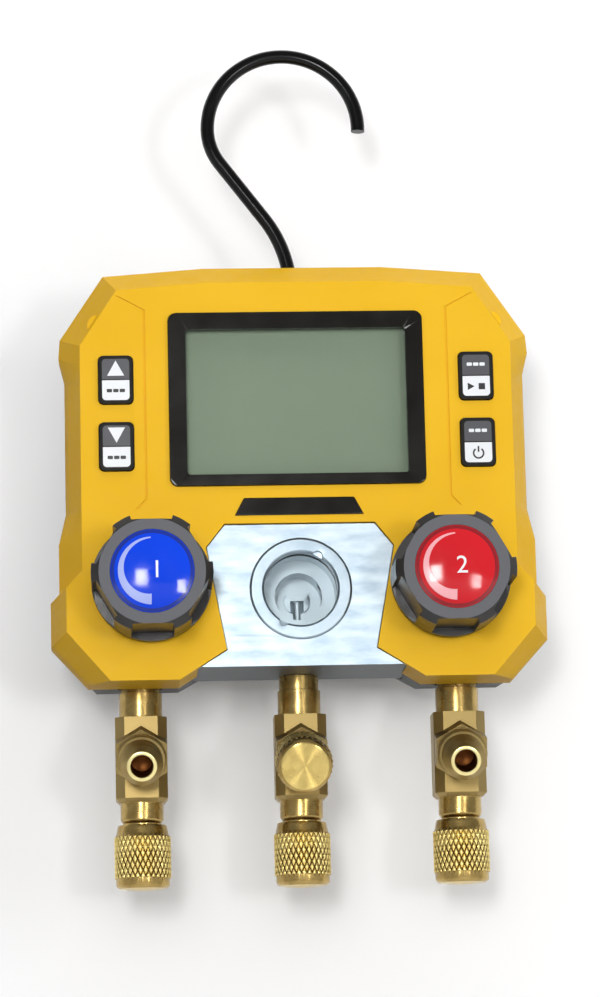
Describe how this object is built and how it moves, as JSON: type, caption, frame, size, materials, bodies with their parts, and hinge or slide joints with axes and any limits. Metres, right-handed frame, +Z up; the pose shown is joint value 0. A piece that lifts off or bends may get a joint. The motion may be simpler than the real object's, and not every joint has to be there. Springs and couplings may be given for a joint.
{
  "type": "refrigerant manifold gauge",
  "caption": "Digital refrigerant manifold gauge with hand valves, sight glass, display, push buttons, capped brass hose ports and a swivelling hook.",
  "frame": {"origin": "on the flat rest face of the rear cover, straight behind the middle of the sight glass", "axes": "+Z up as the gauge hangs on its hook, -Y towards the display side, +Y out of the rest face, X along the block with the low side at -X"},
  "size_m": [0.131, 0.0558, 0.2279],
  "materials": {
    "yellow_shell": "moulded ABS, satin",
    "black_shell": "moulded ABS, fine grain",
    "black_gloss": "moulded, smooth",
    "knob_black": "moulded, satin",
    "blue_insert": "domed, glossy",
    "red_insert": "domed, glossy",
    "aluminium": "milled, fine machining marks",
    "brass": "turned, bright",
    "steel": "turned",
    "hook_black": "glossy black coat",
    "glass": "clear, polished",
    "display": "reflective liquid crystal, grey-green",
    "board": "solder mask",
    "silicone": "moulded, soft",
    "seal": "moulded",
    "button": "printed, satin",
    "cell": "sleeved can",
    "bush": "acetal"
  },
  "bodies": {
    "case": {"front_shell": "yellow_shell", "rear_cover": "black_shell", "shell_screws": "steel", "block_screws": "steel", "board_screws": "steel", "manifold_block": "aluminium", "sight_ring": "aluminium", "sight_window": "glass", "sight_seal": "seal", "low_bonnet": "brass", "high_bonnet": "brass", "low_stem_seal": "seal", "high_stem_seal": "seal", "display_bezel": "black_gloss", "lcd_window": "glass", "lcd_module": "display", "circuit_board": "board", "left_key_mat": "silicone", "right_key_mat": "silicone", "low_tee": "brass", "centre_tee": "brass", "high_tee": "brass", "low_stud": "brass", "high_stud": "brass", "charge_port": "brass", "valve_core": "brass", "low_sensor": "steel", "high_sensor": "steel", "hook_bush": "bush", "batteries": "cell", "battery_contacts": "steel"},
    "hook": {"hook": "hook_black", "hook_clip": "steel"},
    "low_plunger": {"low_plunger": "brass"},
    "low_knob": {"low_knob": "knob_black", "low_insert": "blue_insert", "low_knob_screw": "steel", "low_stem": "steel"},
    "high_plunger": {"high_plunger": "brass"},
    "high_knob": {"high_knob": "knob_black", "high_insert": "red_insert", "high_knob_screw": "steel", "high_stem": "steel"},
    "button_left_upper": {"button_left_upper": "button"},
    "button_left_lower": {"button_left_lower": "button"},
    "button_right_upper": {"button_right_upper": "button"},
    "button_right_lower": {"button_right_lower": "button"},
    "low_cap_gasket": {"low_cap_gasket": "seal"},
    "low_cap": {"low_cap": "brass"},
    "centre_cap_gasket": {"centre_cap_gasket": "seal"},
    "centre_cap": {"centre_cap": "brass"},
    "high_cap_gasket": {"high_cap_gasket": "seal"},
    "high_cap": {"high_cap": "brass"},
    "charge_cap_gasket": {"charge_cap_gasket": "seal"},
    "charge_cap": {"charge_cap": "brass"},
    "battery_door": {"battery_door": "black_shell"}
  },
  "joints": [
    {"name": "hook_swivel", "type": "hinge", "parent": "case", "child": "hook", "pos_m": [0, -0.016, 0.084], "axis": [0, 0, 1], "continuous": true},
    {"name": "low_plunger_slide", "type": "slide", "parent": "case", "child": "low_plunger", "axis": [0, -1, 0], "range_m": [0, 0.00224]},
    {"name": "low_knob_turn", "type": "hinge", "parent": "low_plunger", "child": "low_knob", "pos_m": [-0.039, -0.034, 0.0018], "axis": [0, -1, 0], "range_deg": [0, 540]},
    {"name": "high_plunger_slide", "type": "slide", "parent": "case", "child": "high_plunger", "axis": [0, -1, 0], "range_m": [0, 0.00224]},
    {"name": "high_knob_turn", "type": "hinge", "parent": "high_plunger", "child": "high_knob", "pos_m": [0.039, -0.034, 0.0018], "axis": [0, -1, 0], "range_deg": [0, 540]},
    {"name": "button_left_upper_press", "type": "slide", "parent": "case", "child": "button_left_upper", "axis": [0, 1, 0], "range_m": [0, 0.0007], "stiffness_N_per_m": 400},
    {"name": "button_left_lower_press", "type": "slide", "parent": "case", "child": "button_left_lower", "axis": [0, 1, 0], "range_m": [0, 0.0007], "stiffness_N_per_m": 400},
    {"name": "button_right_upper_press", "type": "slide", "parent": "case", "child": "button_right_upper", "axis": [0, 1, 0], "range_m": [0, 0.0007], "stiffness_N_per_m": 400},
    {"name": "button_right_lower_press", "type": "slide", "parent": "case", "child": "button_right_lower", "axis": [0, 1, 0], "range_m": [0, 0.0007], "stiffness_N_per_m": 400},
    {"name": "low_cap_draw", "type": "slide", "parent": "case", "child": "low_cap_gasket", "axis": [0, 0, -1], "range_m": [0, 0.01015]},
    {"name": "low_cap_turn", "type": "hinge", "parent": "low_cap_gasket", "child": "low_cap", "pos_m": [-0.0422, -0.01, -0.0593], "axis": [0, 0, -1], "range_deg": [0, 2880]},
    {"name": "centre_cap_draw", "type": "slide", "parent": "case", "child": "centre_cap_gasket", "axis": [0, 0, -1], "range_m": [0, 0.01015]},
    {"name": "centre_cap_turn", "type": "hinge", "parent": "centre_cap_gasket", "child": "centre_cap", "pos_m": [0, -0.01, -0.0593], "axis": [0, 0, -1], "range_deg": [0, 2880]},
    {"name": "high_cap_draw", "type": "slide", "parent": "case", "child": "high_cap_gasket", "axis": [0, 0, -1], "range_m": [0, 0.01015]},
    {"name": "high_cap_turn", "type": "hinge", "parent": "high_cap_gasket", "child": "high_cap", "pos_m": [0.0422, -0.01, -0.0593], "axis": [0, 0, -1], "range_deg": [0, 2880]},
    {"name": "charge_cap_draw", "type": "slide", "parent": "case", "child": "charge_cap_gasket", "axis": [0, -0.9563, -0.2924], "range_m": [0, 0.01015]},
    {"name": "charge_cap_turn", "type": "hinge", "parent": "charge_cap_gasket", "child": "charge_cap", "pos_m": [0, -0.02205, -0.04318], "axis": [0, -0.9563, -0.2924], "range_deg": [0, 2880]},
    {"name": "battery_door_swing", "type": "hinge", "parent": "case", "child": "battery_door", "pos_m": [0, -0.0012, 0.0326], "axis": [-1, 0, 0], "range_deg": [0, 105]}
  ],
  "couplings": [
    {"joint": "low_knob_turn", "follows": "low_plunger_slide", "rad_per_m": 4188.8},
    {"joint": "high_knob_turn", "follows": "high_plunger_slide", "rad_per_m": 4188.8},
    {"joint": "low_cap_turn", "follows": "low_cap_draw", "rad_per_m": 4947.4},
    {"joint": "centre_cap_turn", "follows": "centre_cap_draw", "rad_per_m": 4947.4},
    {"joint": "high_cap_turn", "follows": "high_cap_draw", "rad_per_m": 4947.4},
    {"joint": "charge_cap_turn", "follows": "charge_cap_draw", "rad_per_m": 4947.4}
  ]
}
